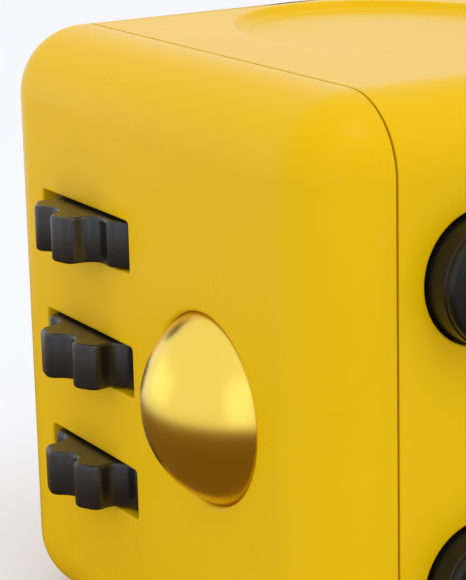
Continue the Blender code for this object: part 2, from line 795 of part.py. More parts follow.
def rocker_switch():
    base = block(
        "rocker_base",
        FLIP,
        (-ROCKER_BASE_HALF, -MODULE_HALF_HEIGHT, BASE_BACK),
        (ROCKER_BASE_HALF, MODULE_HALF_HEIGHT, BASE_FRONT),
        GREY,
    )
    ears = []
    for side in (-1, 1):
        us = sorted((side * ROCKER_EAR_NEAR, side * ROCKER_EAR_FAR))
        ears.append(
            block(
                f"rocker_ear_{side}",
                FLIP,
                (us[0], -ROCKER_EAR_HALF, BASE_FRONT - 0.4 * MM),
                (us[1], ROCKER_EAR_HALF, HALF - END_WALL - GAP),
            )
        )
    combine(base, ears, "UNION")
    pivot, snug = (0.0, ROCKER_PIVOT), PIN_RADIUS + 0.05 * MM
    hole = rod("rocker_ear_hole", FLIP, snug, -SIDE, SIDE, pivot, ALONG_X, steps=SMALL)
    combine(base, [hole, *screw_pockets("rocker_base")], "DIFFERENCE")
    rod("rocker_pin", FLIP, PIN_RADIUS, -PIN_HALF, PIN_HALF, pivot, ALONG_X, STEEL, SMALL)

    half_view = [(2.6, 3.2), (5.1, 4.0), (5.5, 3.95), (5.7, 3.6), (5.7, 1.6), (3.0, -1.2)]
    mirrored = [(-v, w) for v, w in reversed(half_view)]
    side_view = [(0.0, 2.9), *half_view, *mirrored]
    loop = [(v * MM, w * MM) for v, w in side_view]
    standing = Matrix(((0.0, 0.0, 1.0), (1.0, 0.0, 0.0), (0.0, 1.0, 0.0)))
    tilt = Matrix.Rotation(ROCKER_TILT, 3, "X")
    outline(
        "rocker_paddle",
        FLIP,
        [loop, circle(PIN_RADIUS + RUN_GAP, SMALL)],
        ROCKER_HALF_WIDTH,
        (0.0, 0.0, ROCKER_PIVOT),
        (tilt @ standing).to_euler(),
        BLACK,
    )

    over = []
    for step in range(13):
        span = step / 6 - 1
        rise = ROCKER_SPRING_RISE * math.cos(span * math.pi / 2) ** 2
        over.append((span * ROCKER_SPRING_REACH, rise + ROCKER_SPRING_SHEET))
    under = [(x, height - ROCKER_SPRING_SHEET) for x, height in reversed(over)]
    outline(
        "rocker_click_spring",
        FLIP,
        [over + under],
        ROCKER_SPRING_HALF,
        (0.0, 0.0, BASE_FRONT + RUN_GAP),
        standing.to_euler(),
        SPRING,
    )


# ---- Dial, on the -Z face ----


def dial():
    profile = [
        (HUB_HEAD_RADIUS + GAP, DIAL_FACE),
        (DIAL_RADIUS - 0.4 * MM, DIAL_FACE),
        (DIAL_RADIUS, DIAL_FACE - 0.4 * MM),
        (DIAL_RADIUS, HALF - WALL - GAP),
        (DIAL_FLANGE, HALF - WALL - GAP),
        (DIAL_FLANGE, DIAL_BACK),
        (HUB_SHANK_RADIUS + RUN_GAP, DIAL_BACK),
        (HUB_SHANK_RADIUS + RUN_GAP, DIAL_FACE - DIAL_RECESS),
        (HUB_HEAD_RADIUS + GAP, DIAL_FACE - DIAL_RECESS),
    ]
    disc = turned("spin_dial", SPIN, profile, material=BLACK, steps=FINE, closed=True)
    over = DIAL_FACE + DIMPLE_BALL - DIMPLE_DEPTH
    dimple = ball("dial_dimple", SPIN, DIMPLE_BALL, (DIMPLE_AT, 0.0, over), steps=24)
    combine(disc, [dimple], "DIFFERENCE")

    head_under = DIAL_FACE - 0.7 * MM
    hub = [
        (0.0, HALF),
        (HUB_HEAD_RADIUS, HALF),
        (HUB_HEAD_RADIUS, head_under),
        (HUB_SHANK_RADIUS, head_under),
        (HUB_SHANK_RADIUS, PLATE_INSIDE + 0.3 * MM),
        (HUB_THREAD_RADIUS, PLATE_INSIDE),
        (HUB_THREAD_RADIUS, PLATE_INSIDE - 2.0 * MM),
        (0.0, PLATE_INSIDE - 2.2 * MM),
    ]
    turned("dial_hub_screw", SPIN, hub, material=STEEL, steps=ROUND)

    low, high = PLATE_INSIDE + PLATE_THICK + RUN_GAP, DIAL_BACK - RUN_GAP
    ring = [(FRICTION_INNER, high), (FRICTION_OUTER, high), (FRICTION_OUTER, low), (FRICTION_INNER, low)]
    turned("dial_friction_washer", SPIN, ring, material=SPRING, steps=ROUND, closed=True)
    outline(
        "dial_nut",
        SPIN,
        [circle(NUT_RADIUS, 6), circle(HUB_THREAD_RADIUS + 0.06 * MM, SMALL)],
        NUT_HALF,
        (0.0, 0.0, PLATE_INSIDE - RUN_GAP - NUT_HALF),
        ALONG_Z,
        STEEL,
    )


front_cover()
middle_shell()
back_cover()
carrier_plates()
plate_screws()
rollers()
roller_axle_and_spacers()
roller_chassis()
click_spring()
thumb_ball()
push_buttons()
joystick()
rocker_switch()
dial()
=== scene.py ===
"""Looks of a pocket fidget cube, built around its packed mechanical model.

The casing, the rollers, the ball, the buttons, the joystick, the rocker switch and the dial are modelled
again with their fine edges, and each rides on the body that it belongs to. The pieces inside keep their
own shapes and get their own materials. Sizes are in metres. Each face of the cube has a frame of its own,
whose origin is the middle of the cube and whose local Z points out of the face.
"""

import json
import logging
import math
from dataclasses import dataclass, field
from enum import Enum

import bmesh
import bpy
from mathutils import Euler, Matrix, Vector


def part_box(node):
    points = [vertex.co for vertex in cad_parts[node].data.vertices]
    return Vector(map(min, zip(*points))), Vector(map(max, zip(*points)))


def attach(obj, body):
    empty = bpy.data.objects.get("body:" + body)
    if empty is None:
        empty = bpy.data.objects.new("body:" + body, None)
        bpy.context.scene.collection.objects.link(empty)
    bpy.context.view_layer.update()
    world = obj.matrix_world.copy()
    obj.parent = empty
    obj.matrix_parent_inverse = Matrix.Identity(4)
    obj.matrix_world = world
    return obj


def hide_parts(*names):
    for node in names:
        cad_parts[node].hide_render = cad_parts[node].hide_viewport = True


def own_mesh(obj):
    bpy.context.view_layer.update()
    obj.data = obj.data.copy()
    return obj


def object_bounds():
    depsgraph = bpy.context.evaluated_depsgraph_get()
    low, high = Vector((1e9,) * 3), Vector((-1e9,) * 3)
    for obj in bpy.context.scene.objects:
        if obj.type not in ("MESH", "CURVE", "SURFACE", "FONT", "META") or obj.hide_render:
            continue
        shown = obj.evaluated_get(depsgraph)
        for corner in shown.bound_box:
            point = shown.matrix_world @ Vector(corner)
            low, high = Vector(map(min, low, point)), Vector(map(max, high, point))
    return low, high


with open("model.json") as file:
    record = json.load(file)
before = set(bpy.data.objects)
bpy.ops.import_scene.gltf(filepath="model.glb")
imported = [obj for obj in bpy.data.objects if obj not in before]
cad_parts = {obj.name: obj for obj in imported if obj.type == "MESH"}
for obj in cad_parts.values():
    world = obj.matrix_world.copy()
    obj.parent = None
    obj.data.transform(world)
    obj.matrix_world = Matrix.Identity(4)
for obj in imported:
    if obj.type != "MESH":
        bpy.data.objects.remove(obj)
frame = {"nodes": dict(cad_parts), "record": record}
CAD_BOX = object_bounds()

log = logging.getLogger("fidget_cube")

MM = 0.001
WELD = 0.000001
LEVEL_ERROR = 10 * WELD
HALF = (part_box("middle_shell")[1].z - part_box("middle_shell")[0].z) / 2
MIDDLE = Vector((0.0, 0.0, HALF))
FLOOR_GAP = 0.05 * MM
FLAT_MARGIN = 0.06 * MM
SHARP_ANGLE = math.radians(38.0)
TINT_SPAN = (0.35, 0.65)
GLOSS_SPAN = (0.3, 0.7)
FLANGE_TOP = HALF - 1.8 * MM

Outline = list[tuple[float, float]]
Corner = tuple[float, float, float]
Levels = list[tuple[Outline, float]]
Loop = list[bmesh.types.BMVert]
Edges = list[bmesh.types.BMEdge]
Tree = bpy.types.NodeTree
Socket = bpy.types.NodeSocket


class Face(Enum):
    """The six faces of the cube, as the turn that takes local Z out of each."""

    DISH = (0.0, 0.0, 0.0)
    ROLLERS = (math.pi / 2, 0.0, 0.0)
    BUTTONS = (math.pi / 2, 0.0, math.pi / 2)
    STICK = (math.pi / 2, 0.0, -math.pi / 2)
    ROCKER = (math.pi / 2, 0.0, math.pi)
    DIAL = (math.pi, 0.0, 0.0)

    def turn(self) -> Matrix:
        """The face's turn about the middle of the cube."""
        return Euler(self.value).to_matrix().to_4x4()

    def frame(self) -> Matrix:
        """The face's frame in the part's own frame."""
        return Matrix.Translation(MIDDLE) @ self.turn()

    def out(self) -> Vector:
        """The way out of the face, in the part's own frame."""
        return self.turn() @ Vector((0.0, 0.0, 1.0))

    def extent(self, node: str) -> tuple[Vector, Vector]:
        """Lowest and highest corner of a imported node, in this face's frame."""
        first, second = (self.frame().inverted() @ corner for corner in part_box(node))
        return Vector(map(min, first, second)), Vector(map(max, first, second))

    def spot(self, node: str) -> tuple[float, float]:
        """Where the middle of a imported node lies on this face."""
        low, high = self.extent(node)
        centre = (low + high) / 2
        return centre.x, centre.y


# ---- Outlines and profiles ----


def soften(corners: list[Corner], closed: bool, steps: int = 6) -> Outline:
    """Rounds the corners of a flat line.

    Args:
        corners: Points as x, y and the radius that rounds each.
        closed: Whether the last corner runs back to the first.
        steps: Straight pieces in each rounded corner.

    Returns:
        The points of the softened line.
    """
    points = []
    last = len(corners) - 1
    for index, (x, y, radius) in enumerate(corners):
        here = Vector((x, y))
        if radius <= 0.0 or (not closed and index in (0, last)):
            points.append((x, y))
            continue
        back = (Vector(corners[index - 1][:2]) - here).normalized()
        ahead = (Vector(corners[(index + 1) % len(corners)][:2]) - here).normalized()
        half = back.angle(ahead) / 2
        centre = here + (back + ahead).normalized() * radius / math.sin(half)
        arm = here + back * radius / math.tan(half) - centre
        side = 1.0 if back.x * ahead.y - back.y * ahead.x < 0.0 else -1.0
        sweep = side * (math.pi - 2 * half)
        for step in range(steps + 1):
            point = centre + Matrix.Rotation(sweep * step / steps, 2) @ arm
            points.append((point.x, point.y))
    return points


def shifted(outline: Outline, inward: float) -> Outline:
    """A closed outline that runs anticlockwise, moved inward all along.

    Args:
        outline: The points.
        inward: How far, or less than nothing to grow it.

    Returns:
        As many points, moved.
    """
    moved = []
    count = len(outline)
    for index, (x, y) in enumerate(outline):
        before, after = outline[index - 1], outline[(index + 1) % count]
        along = Vector((after[0] - before[0], after[1] - before[1])).normalized()
        moved.append((x - along.y * inward, y + along.x * inward))
    return moved


def round_outline(half_u: float, half_v: float, steps: int) -> Outline:
    """A circle or an ellipse about the origin."""
    turns = [2 * math.pi * step / steps for step in range(steps)]
    return [(half_u * math.cos(turn), half_v * math.sin(turn)) for turn in turns]


def box_outline(half_u: float, half_v: float, corner: float, steps: int) -> Outline:
    """A rectangle about the origin with rounded corners."""
    ends = ((half_u, -half_v), (half_u, half_v), (-half_u, half_v), (-half_u, -half_v))
    return soften([(u, v, corner) for u, v in ends], True, steps)


def arc_heights(radius: float, steps: int) -> list[tuple[float, float]]:
    """A quarter round as pairs of how far in and how far down, from its low outer end to its top."""
    turns = [math.pi / 2 * step / steps for step in range(steps + 1)]
    return [(radius * (1 - math.cos(turn)), radius * (1 - math.sin(turn))) for turn in turns]


def turned(profile: Outline, steps: int, about: tuple[float, float] = (0.0, 0.0)) -> Levels:
    """The circles of a profile, which gives radius and height, about an axis."""
    circles = ((round_outline(radius, radius, steps), height) for radius, height in profile)
    return [([(about[0] + u, about[1] + v) for u, v in circle], height) for circle, height in circles]


def outward(azimuth: float, elevation: float) -> Vector:
    """The way out from the cube, at an azimuth from -Y towards +X and an elevation."""
    level = math.cos(elevation)
    return Vector((math.sin(azimuth) * level, -math.cos(azimuth) * level, math.sin(elevation)))


# ---- Finishes ----


def linear(code: str) -> tuple[float, float, float, float]:
    """Six hex digits of an sRGB colour as linear red, green, blue and alpha."""
    shares = [int(code[index : index + 2], 16) / 255 for index in (0, 2, 4)]
    red, green, blue = (
        share / 12.92 if share <= 0.04045 else ((share + 0.055) / 1.055) ** 2.4 for share in shares
    )
    return red, green, blue, 1.0


def per_metre(spacing_mm: float) -> float:
    """The texture scale whose pattern repeats about every so many millimetres."""
    return 1.0 / (spacing_mm * MM)


def add_node(tree: Tree, kind: str, settings: dict, links: dict) -> bpy.types.Node:
    """Adds a node to a tree.

    Args:
        tree: The tree.
        kind: The node's type.
        settings: Values by the name of an input socket, or else of a property.
        links: Output sockets by the name or the number of the input that each one feeds.

    Returns:
        The node.
    """
    node = tree.nodes.new(kind)
    for name, value in settings.items():
        if name in node.inputs:
            node.inputs[name].default_value = value
        else:
            setattr(node, name, value)
    for name, source in links.items():
        tree.links.new(source, node.inputs[name])
    return node


@dataclass(frozen=True)
class Finish:
    """A surface: what it is made of and how its skin was made.

    The colour drifts between two shades, the gloss drifts over its own distance, and a fine grain
    roughens the skin. Distances are in millimetres.
    """

    title: str
    slot: str
    colour: str
    shade: str
    roughness: float
    gloss_drift: float = 0.05
    metallic: float = 0.0
    specular: float = 0.5
    coat: float = 0.0
    drift_mm: float = 9.0
    gloss_mm: float = 4.0
    grain_mm: float = 0.14
    grain_depth_mm: float = 0.002

    def material(self) -> bpy.types.Material:
        """The finish as a material, made once."""
        made = bpy.data.materials.get(self.title)
        if made is None:
            made = bpy.data.materials.new(self.title)
            made.use_nodes = True
            self.build(made.node_tree)
        return made

    def build(self, tree: Tree) -> None:
        """Lays out the nodes.

        Args:
            tree: The material's tree, as Blender makes it.
        """
        shader = tree.nodes["Principled BSDF"]
        shader.inputs["Metallic"].default_value = self.metallic
        shader.inputs["Specular IOR Level"].default_value = self.specular
        shader.inputs["Coat Weight"].default_value = self.coat
        place = add_node(tree, "ShaderNodeTexCoord", {}, {}).outputs["Object"]
        tree.links.new(self.tint(tree, place), shader.inputs["Base Color"])
        tree.links.new(self.gloss(tree, place), shader.inputs["Roughness"])
        tree.links.new(self.relief(tree, place), shader.inputs["Normal"])

    def tint(self, tree: Tree, place: Socket) -> Socket:
        """The colour, as it drifts between the two shades."""
        patches = self.patches(tree, place, self.drift_mm, 3.0)
        ramp = add_node(tree, "ShaderNodeValToRGB", {}, {"Fac": patches})
        low, high = ramp.color_ramp.elements
        low.position, high.position = TINT_SPAN
        low.color, high.color = linear(self.shade), linear(self.colour)
        return ramp.outputs["Color"]

    def gloss(self, tree: Tree, place: Socket) -> Socket:
        """The roughness, as it drifts about its middle value."""
        patches = self.patches(tree, place, self.gloss_mm, 4.0)
        limits = {
            "From Min": GLOSS_SPAN[0],
            "From Max": GLOSS_SPAN[1],
            "To Min": self.roughness - self.gloss_drift,
            "To Max": self.roughness + self.gloss_drift,
        }
        spread = add_node(tree, "ShaderNodeMapRange", limits, {"Value": patches})
        return spread.outputs["Result"]

    def relief(self, tree: Tree, place: Socket) -> Socket:
        """The grain of the mould's eroded skin, as a bumped normal."""
        return self.raised(tree, self.patches(tree, place, self.grain_mm, 2.0))

    @staticmethod
    def patches(tree: Tree, place: Socket, spacing_mm: float, detail: float) -> Socket:
        """Soft random patches about so far apart, as values from 0 to 1."""
        settings = {"Scale": per_metre(spacing_mm), "Detail": detail}
        return add_node(tree, "ShaderNodeTexNoise", settings, {"Vector": place}).outputs["Fac"]

    def raised(self, tree: Tree, height: Socket, strength: float = 1.0) -> Socket:
        """The normal of a relief, whose height from 0 to 1 is a share of the grain's depth."""
        settings = {"Strength": strength, "Distance": self.grain_depth_mm * MM}
        return add_node(tree, "ShaderNodeBump", settings, {"Height": height}).outputs["Normal"]


@dataclass(frozen=True)
class TurnedFinish(Finish):
    """Metal turned on a lathe: fine rings round the piece's own axis, which runs along Z."""

    ring_mm: float = 0.12
    wander: float = 0.6
    strength: float = 0.6

    def relief(self, tree: Tree, place: Socket) -> Socket:
        """The rings that the tool leaves."""
        settings = {
            "wave_type": "RINGS",
            "rings_direction": "Z",
            "Scale": per_metre(self.ring_mm) / (2 * math.pi),
            "Distortion": self.wander,
        }
        rings = add_node(tree, "ShaderNodeTexWave", settings, {"Vector": place})
        return self.raised(tree, rings.outputs["Fac"], self.strength)


@dataclass(frozen=True)
class WovenFinish(Finish):
    """A lacquered board: the crossed threads of its glass cloth show faintly through the lacquer."""

    thread_mm: float = 0.4
    strength: float = 0.5

    def relief(self, tree: Tree, place: Socket) -> Socket:
        """The threads, as two crossed waves."""
        heights = {}
        for number, direction in enumerate("YZ"):
            settings = {"bands_direction": direction, "Scale": per_metre(self.thread_mm) / (2 * math.pi)}
            wave = add_node(tree, "ShaderNodeTexWave", settings, {"Vector": place})
            heights[number] = wave.outputs["Fac"]
        crossed = add_node(tree, "ShaderNodeMath", {"operation": "MULTIPLY"}, heights)
        return self.raised(tree, crossed.outputs["Value"], self.strength)


# Injection-moulded ABS from a smooth tool: an even, full colour with dim, broad highlights.
YELLOW_ABS = Finish(
    "moulded_yellow_abs",
    "casing_yellow",
    "DFB303",
    "DDB102",
    roughness=0.28,
    gloss_drift=0.012,
    specular=0.09,
    drift_mm=16.0,
    gloss_mm=11.0,
    grain_mm=0.2,
    grain_depth_mm=0.0003,
)
# Black ABS with a fine grain: a deep colour with a dim, clean sheen.
BLACK_ABS = Finish("moulded_black_abs", "control_black", "121213", "0F0F10", 0.27, specular=0.3)
# Black ABS from a spark-eroded tool: the deeper grain spreads its sheen.
GRAINED_ABS = Finish(
    "grained_black_abs",
    "control_black",
    "171718",
    "141415",
    roughness=0.3,
    specular=0.62,
    grain_mm=0.18,
    grain_depth_mm=0.004,
)
# Gold-coloured plating on a steel ball, satin enough to blur the studio into soft patches.
GOLD_PLATE = Finish(
    "satin_gold_plate",
    "ball_gold",
    "F3D55E",
    "F0D059",
    roughness=0.25,
    gloss_drift=0.012,
    metallic=1.0,
    drift_mm=5.0,
    grain_depth_mm=0.0004,
)
# Natural acetal: waxy and milky, with hardly any grain.
ACETAL = Finish("natural_acetal", "inner_grey", "8D9091", "868889", 0.5, specular=0.4)
# Free-cutting steel straight off the lathe.
TURNED_STEEL = TurnedFinish(
    "turned_steel", "steel", "B9BABD", "AEB0B3", 0.3, metallic=1.0, grain_depth_mm=0.001
)
# Hard-drawn spring wire and strip, a shade darker than the screws.
SPRING_STEEL = Finish("drawn_spring_steel", "spring_steel", "9C9DA1", "8F9094", 0.34, metallic=1.0)
# Moulded silicone: matt, with a skin like chalk.
SILICONE = Finish("moulded_silicone", "silicone_white", "E2E1DC", "D8D7D2", 0.62, specular=0.35)
# Glass-fibre board under green lacquer.
BOARD = WovenFinish("lacquered_board", "board_green", "1F5A34", "1A4F2D", 0.28, coat=0.5)


# ---- Making a piece ----


@dataclass
class Workpiece:
    """One closed mesh in the making.

    Its points are given in a frame of its own, which is set when the mesh is started.
    """

    name: str
    frame: Matrix
    mesh: bmesh.types.BMesh = field(default_factory=bmesh.new)
    rim_steps: int = 4
    bore_steps: int = 32

    def ring(self, outline: Outline, height: float) -> Loop:
        """A closed ring at one height.

        Args:
            outline: The ring's points.
            height: Where it lies along local Z.

        Returns:
            The ring's points in order.
        """
        verts = [self.mesh.verts.new((*point, height)) for point in outline]
        for pair in zip(verts, verts[1:] + verts[:1]):
            self.mesh.edges.new(pair)
        return verts

    def edges(self, loop: Loop) -> Edges:
        """The edges of a ring."""
        return [self.mesh.edges.get(pair) for pair in zip(loop, loop[1:] + loop[:1])]

    def extend(self, loop: Loop, outline: Outline, height: float) -> Loop:
        """Extrudes a ring to the next outline, point for point.

        Args:
            loop: The ring to start from.
            outline: Where the new ring lies, with as many points.
            height: Its height along local Z.

        Returns:
            The new ring.
        """
        made = bmesh.ops.extrude_edge_only(self.mesh, edges=self.edges(loop))["geom"]
        fresh = {item for item in made if isinstance(item, bmesh.types.BMVert)}
        ahead = []
        for vert, point in zip(loop, outline):
            ends = (edge.other_vert(vert) for edge in vert.link_edges)
            twin = next(end for end in ends if end in fresh)
            twin.co = (*point, height)
            ahead.append(twin)
        return ahead

    def sweep(self, levels: Levels) -> tuple[Edges, Edges]:
        """Walls through a row of outlines, each at its height.

        Args:
            levels: The outlines with their heights, each with as many points.

        Returns:
            The edges of the first ring and of the last.
        """
        first = last = self.ring(*levels[0])
        for outline, height in levels[1:]:
            last = self.extend(last, outline, height)
        return self.edges(first), self.edges(last)

    def fill(self, *loops: Edges) -> None:
        """Fills the flat space inside the first ring of edges and outside the others."""
        bmesh.ops.triangle_fill(self.mesh, use_beauty=True, edges=sum(loops, []))

    def lathe(self, profile: Outline, steps: int, about: tuple[float, float] = (0.0, 0.0)) -> None:
        """Turns a profile about an axis along local Z.

        Args:
            profile: Points as radius and height.
            steps: Faces round the axis.
            about: Where the axis stands.
        """
        verts = [self.mesh.verts.new((about[0] + radius, about[1], height)) for radius, height in profile]
        edges = [self.mesh.edges.new(pair) for pair in zip(verts, verts[1:])]
        bmesh.ops.spin(
            self.mesh,
            geom=verts + edges,
            cent=(*about, 0.0),
            axis=(0.0, 0.0, 1.0),
            angle=2 * math.pi,
            steps=steps,
            use_merge=True,
        )

    def prism(self, outline: Outline, half: float, rim: float, bore: float) -> None:
        """A flat piece with rounded rims and a round bore, centred on local Z.

        Args:
            outline: Its outline, anticlockwise.
            half: Half its thickness.
            rim: The radius of its rims.
            bore: The radius of its bore.
        """
        quarter = [*arc_heights(rim, self.rim_steps), (rim + FLAT_MARGIN, 0.0)]
        levels = [(inset, drop - half) for inset, drop in reversed(quarter)]
        levels += [(inset, half - drop) for inset, drop in quarter]
        ends = self.sweep([(shifted(outline, inset), height) for inset, height in levels])
        hole = round_outline(bore, bore, self.bore_steps)
        for wall, mouth in zip(ends, self.sweep([(hole, -half), (hole, half)])):
            self.fill(wall, mouth)

    def deliver(self, body: str, finish: Finish, replaces: tuple[str, ...]) -> bpy.types.Object:
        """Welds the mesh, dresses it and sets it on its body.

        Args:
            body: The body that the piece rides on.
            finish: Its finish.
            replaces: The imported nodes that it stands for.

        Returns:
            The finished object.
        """
        bmesh.ops.remove_doubles(self.mesh, verts=self.mesh.verts[:], dist=WELD)
        bmesh.ops.dissolve_degenerate(self.mesh, edges=self.mesh.edges[:], dist=WELD)
        self.mesh.transform(self.frame)
        bmesh.ops.recalc_face_normals(self.mesh, faces=self.mesh.faces[:])
        open_edges = sum(1 for edge in self.mesh.edges if not edge.is_manifold)
        data = bpy.data.meshes.new(self.name)
        self.mesh.to_mesh(data)
        self.mesh.free()
        data.shade_smooth()
        data.set_sharp_from_angle(angle=SHARP_ANGLE)
        piece = bpy.data.objects.new(self.name, data)
        bpy.context.scene.collection.objects.link(piece)
        piece.data.materials.append(finish.material())
        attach(piece, body)
        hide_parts(*replaces)
        log.info("%s: %d faces, %d open edges, on %s", self.name, len(data.polygons), open_edges, body)
        return piece


# ---- Casing ----


@dataclass(frozen=True)
class Opening:
    """A hole or a recess in a flat side, with a rounded lip.

    The outline is a rounded box if corner is given, and else an ellipse. A recess has a floor, which its
    wall reaches in a slope and a second round.
    """

    face: Face
    centre: tuple[float, float]
    half_u: float
    half_v: float
    lip: float
    corner: float = 0.0
    depth: float = 0.0
    slope: float = 0.0
    foot: float = 0.0
    steps: int = 96
    corner_steps: int = 8
    lip_run: float = 2.2
    foot_run: float = 1.6
    recess_steps: int = 10

    def outline(self, grow: float) -> Outline:
        """The outline, grown all round.

        Args:
            grow: How far, or less than nothing to shrink it.

        Returns:
            Its points in the face's frame.
        """
        if self.corner:
            corner = self.corner + grow
            points = box_outline(self.half_u + grow, self.half_v + grow, corner, self.corner_steps)
        else:
            points = round_outline(self.half_u + grow, self.half_v + grow, self.steps)
        return [(self.centre[0] + u, self.centre[1] + v) for u, v in points]

    def levels(self, wall: float) -> list[tuple[float, float]]:
        """How far the outline grows, at each depth, from the flat side inward.

        Args:
            wall: How thick the side is, for a hole that goes through it.

        Returns:
            Pairs of growth and depth.
        """
        if not self.depth:
            run = [(self.lip + FLAT_MARGIN, 0.0, 0.0), (0.0, 0.0, self.lip), (0.0, -wall, 0.0)]
            return soften(run, False)
        run = [
            (self.lip * self.lip_run + FLAT_MARGIN, 0.0, 0.0),
            (0.0, 0.0, self.lip),
            (-self.slope, -self.depth, self.foot),
            (-self.slope - self.foot * self.foot_run, -self.depth, 0.0),
        ]
        return soften(run, False, self.recess_steps)

    def cut(self, piece: Workpiece, wall: float) -> tuple[Edges, Edges]:
        """Makes the opening's own walls, upright and then turned to its face.

        Args:
            piece: The casing piece.
            wall: How thick its side is.

        Returns:
            The edges of the outermost ring and of the innermost.
        """
        before = set(piece.mesh.verts)
        ends = piece.sweep([(self.outline(grow), HALF + depth) for grow, depth in self.levels(wall)])
        fresh = [vert for vert in piece.mesh.verts if vert not in before]
        bmesh.ops.transform(piece.mesh, matrix=self.face.turn(), verts=fresh)
        return ends


@dataclass(frozen=True)
class Casing:
    """The rounded cube in three pieces, with a fine rounded seam between them."""

    edge_radius: float = 3.75 * MM
    edge_steps: int = 18
    side_wall: float = 1.5 * MM
    end_wall: float = 1.2 * MM
    seam_gap: float = 0.12 * MM
    seam_lip: float = 0.04 * MM
    lip_steps: int = 3

    def blank(self, name: str) -> Workpiece:
        """The whole rounded cube, with each flat side held by a narrow margin."""
        piece = Workpiece(name, Matrix.Translation(MIDDLE))
        bmesh.ops.create_cube(piece.mesh, size=2 * HALF)
        bmesh.ops.bevel(
            piece.mesh,
            geom=piece.mesh.edges[:],
            offset=self.edge_radius,
            segments=self.edge_steps,
            profile=0.5,
            affect="EDGES",
            material=-1,
        )
        flats = sorted(piece.mesh.faces, key=lambda side: side.calc_area())[-len(Face) :]
        bmesh.ops.inset_individual(piece.mesh, faces=flats, thickness=FLAT_MARGIN)
        return piece

    def trim(self, piece: Workpiece, plane: float, side: float) -> Edges:
        """Cuts the blank at a seam and folds its rim inward.

        Args:
            piece: The blank.
            plane: Where the seam's face is, along Y.
            side: 1 if the piece lies below the plane, and -1 if above.

        Returns:
            The innermost ring of the rim.
        """
        mesh = piece.mesh
        for back, clear in ((self.seam_lip + FLAT_MARGIN, False), (self.seam_lip, True)):
            bmesh.ops.bisect_plane(
                mesh,
                geom=mesh.verts[:] + mesh.edges[:] + mesh.faces[:],
                plane_co=(0.0, plane - side * back, 0.0),
                plane_no=(0.0, side, 0.0),
                clear_outer=clear,
            )
        start = plane - side * self.seam_lip
        rim = [edge for edge in mesh.edges if edge.is_boundary and abs(edge.verts[0].co.y - start) < WELD]
        quarter = arc_heights(self.seam_lip, self.lip_steps)[1:]
        done = 0.0
        for inset, drop in (*quarter, (self.seam_lip + FLAT_MARGIN, 0.0), (self.side_wall, 0.0)):
            rim = self.step(mesh, rim, (HALF - inset) / (HALF - done), plane - side * drop)
            done = inset
        return rim

    @staticmethod
    def step(mesh: bmesh.types.BMesh, rim: Edges, shrink: float, height: float) -> Edges:
        """Extrudes a rim by one step.

        Args:
            mesh: The mesh.
            rim: The edges to extrude.
            shrink: How much smaller the new rim is, in X and Z.
            height: Where it lies along Y.

        Returns:
            The new rim's edges.
        """
        made = bmesh.ops.extrude_edge_only(mesh, edges=rim)["geom"]
        verts = [item for item in made if isinstance(item, bmesh.types.BMVert)]
        bmesh.ops.scale(mesh, vec=(shrink, 1.0, shrink), verts=verts)
        for vert in verts:
            vert.co.y = height
        edges = [item for item in made if isinstance(item, bmesh.types.BMEdge)]
        return [edge for edge in edges if set(edge.verts) <= set(verts)]

    def flat(self, piece: Workpiece, face: Face, height: float) -> Edges:
        """Takes out the widest face that looks out of one side at one height.

        Args:
            piece: The casing piece.
            face: The side.
            height: How far the face is from the middle of the cube.

        Returns:
            The edges that it leaves open.
        """
        out = face.out()
        sides = piece.mesh.faces
        found = [side for side in sides if abs(side.calc_center_median().dot(out) - height) < LEVEL_ERROR]
        widest = max(found, key=lambda side: side.calc_area())
        edges = list(widest.edges)
        bmesh.ops.delete(piece.mesh, geom=[widest], context="FACES_ONLY")
        return edges

    def cut_all(self, piece: Workpiece, openings: list[Opening], inner: dict[Face, Edges]) -> None:
        """Cuts the openings of a casing piece into its flat sides.

        Args:
            piece: The casing piece.
            openings: Its openings.
            inner: The open edges of the inner face, for sides that are still open inside.
        """
        for face in dict.fromkeys(opening.face for opening in openings):
            here = [opening for opening in openings if opening.face is face]
            wall = self.end_wall if face in inner else self.side_wall
            outside, inside = [self.flat(piece, face, HALF)], []
            for opening in here:
                mouth, end = opening.cut(piece, wall)
                outside.append(mouth)
                if opening.depth:
                    piece.fill(end)
                else:
                    inside.append(end)
            piece.fill(*outside)
            if inside:
                border = inner[face] if face in inner else self.flat(piece, face, HALF - wall)
                piece.fill(border, *inside)

    def cover(self, name: str, face: Face, openings: list[Opening]) -> None:
        """Makes the front or the back cover.

        Args:
            name: The cover's node.
            face: The side that it closes.
            openings: Its openings.
        """
        side = 1.0 if face is Face.ROLLERS else -1.0
        piece = self.blank(f"moulded_{name}")
        rim = self.trim(piece, -side * (self.seam() + self.seam_gap / 2), side)
        rim = self.step(piece.mesh, rim, 1.0, -side * (HALF - self.end_wall))
        self.cut_all(piece, openings, {face: rim})
        piece.deliver("casing", YELLOW_ABS, (name,))

    def seam(self) -> float:
        """How far each seam's middle is from the middle of the cube."""
        return (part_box("middle_shell")[1].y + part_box("back_cover")[0].y) / 2

    def middle(self, name: str, openings: list[Opening]) -> None:
        """Makes the middle shell, which is open at both ends.

        Args:
            name: The shell's node.
            openings: Its openings.
        """
        piece = self.blank(f"moulded_{name}")
        plane = self.seam() - self.seam_gap / 2
        ends = [self.trim(piece, side * plane, side) for side in (-1.0, 1.0)]
        bmesh.ops.bridge_loops(piece.mesh, edges=ends[0] + ends[1])
        self.cut_all(piece, openings, {})
        piece.deliver("casing", YELLOW_ABS, (name,))


# The shallow dish in the top.
THUMB_DISH = Opening(
    Face.DISH,
    centre=(-1.2 * MM, 0.4 * MM),
    half_u=11.0 * MM,
    half_v=8.3 * MM,
    lip=0.35 * MM,
    depth=0.5 * MM,
    slope=0.45 * MM,
    foot=0.8 * MM,
    steps=160,
)


# ---- Rollers and ball ----


